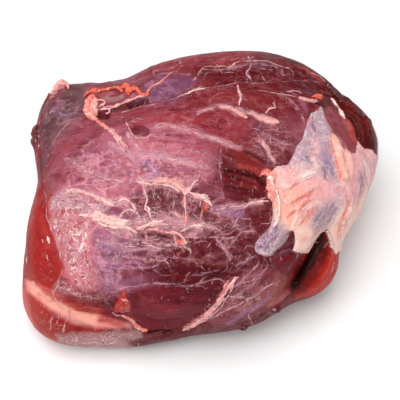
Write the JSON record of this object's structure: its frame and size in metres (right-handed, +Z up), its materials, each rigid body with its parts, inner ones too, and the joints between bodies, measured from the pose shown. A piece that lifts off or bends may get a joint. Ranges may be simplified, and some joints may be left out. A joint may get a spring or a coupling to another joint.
{
  "type": "raw wild boar leg roast",
  "caption": "Raw boneless wild boar leg roast lying on its flat underside, with muscle seams, a fat cap, a torn fat flap, slits and strands.",
  "frame": {"origin": "middle of the base, on the surface that the roast lies on", "axes": "+X along the length towards the end with the fat cap, +Y towards the back, +Z up through the dome"},
  "size_m": [0.242, 0.2052, 0.1131],
  "materials": {
    "meat": "wet raw red meat under thin silverskin, with pale fat, soft and glossy",
    "fat": "moist pinkish cream fat and connective strands"
  },
  "bodies": {
    "root": {"roast": "meat"}
  },
  "joints": []
}
